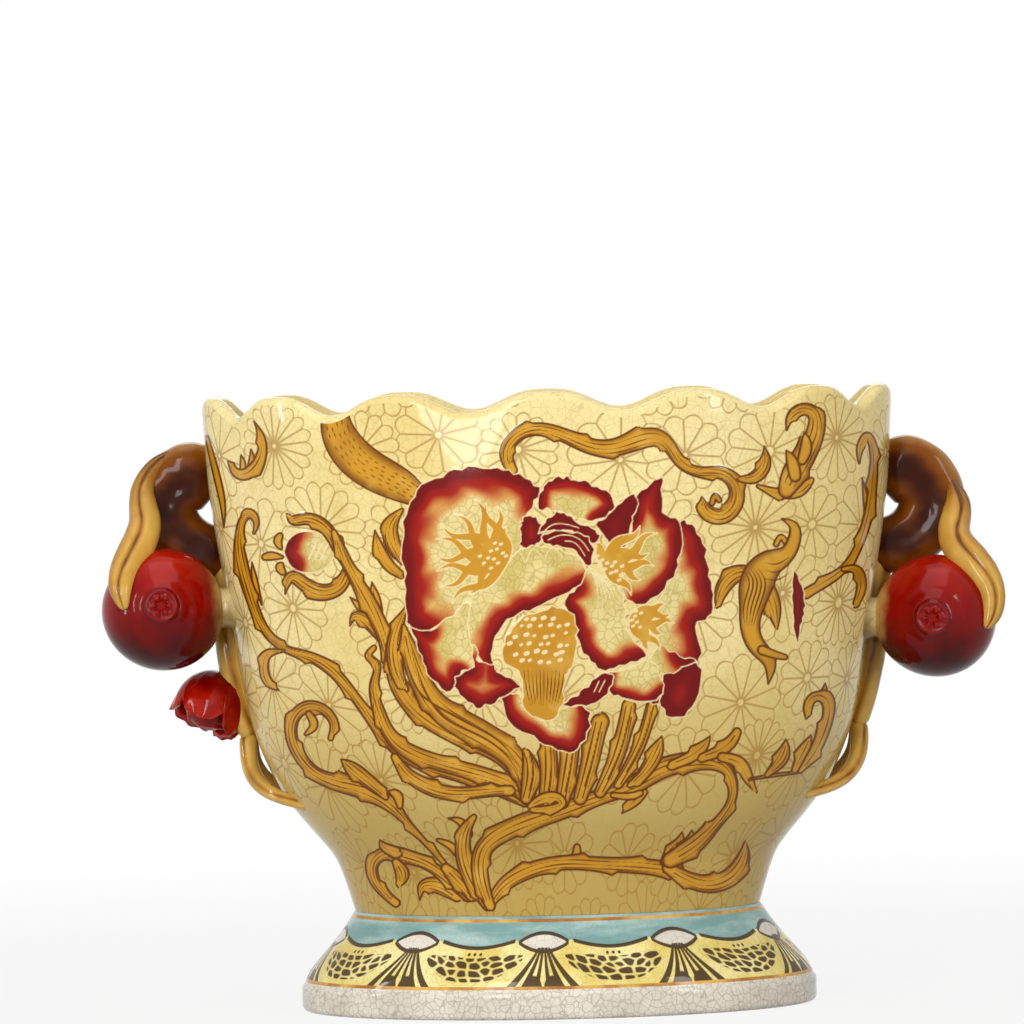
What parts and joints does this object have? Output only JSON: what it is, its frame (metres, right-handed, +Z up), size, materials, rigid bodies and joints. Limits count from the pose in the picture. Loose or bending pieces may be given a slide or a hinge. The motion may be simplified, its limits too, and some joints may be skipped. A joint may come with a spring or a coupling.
{
  "type": "jardiniere",
  "caption": "Oval footed porcelain jardiniere with scalloped rim, crackle glaze, painted peony scrolls and sculpted branch and pomegranate handles",
  "frame": {"origin": "centre of the foot's underside, on the surface it stands on", "axes": "+X to the right-hand handle as seen from the painted front, +Y to the back, +Z up out of the bowl; the painted front faces -Y"},
  "size_m": [0.3772, 0.2068, 0.2602],
  "materials": {
    "crackle_yellow_glaze": "gloss",
    "painted_cream_glaze": "gloss",
    "brown_bark_glaze": "gloss",
    "red_fruit_glaze": "gloss",
    "ochre_glaze": "gloss"
  },
  "bodies": {
    "root": {"bowl": "crackle_yellow_glaze", "foot": "painted_cream_glaze", "left_branch": "brown_bark_glaze", "left_pomegranate": "red_fruit_glaze", "left_calyx": "red_fruit_glaze", "left_fruit_pad": "ochre_glaze", "left_tendril": "ochre_glaze", "left_stem": "ochre_glaze", "left_front_root": "ochre_glaze", "left_back_root": "ochre_glaze", "left_blossom_bud": "red_fruit_glaze", "left_blossom_petals": "red_fruit_glaze", "right_branch": "brown_bark_glaze", "right_pomegranate": "red_fruit_glaze", "right_calyx": "red_fruit_glaze", "right_fruit_pad": "ochre_glaze", "right_tendril": "ochre_glaze", "right_stem": "ochre_glaze", "right_front_root": "ochre_glaze", "right_back_root": "ochre_glaze"}
  },
  "joints": []
}
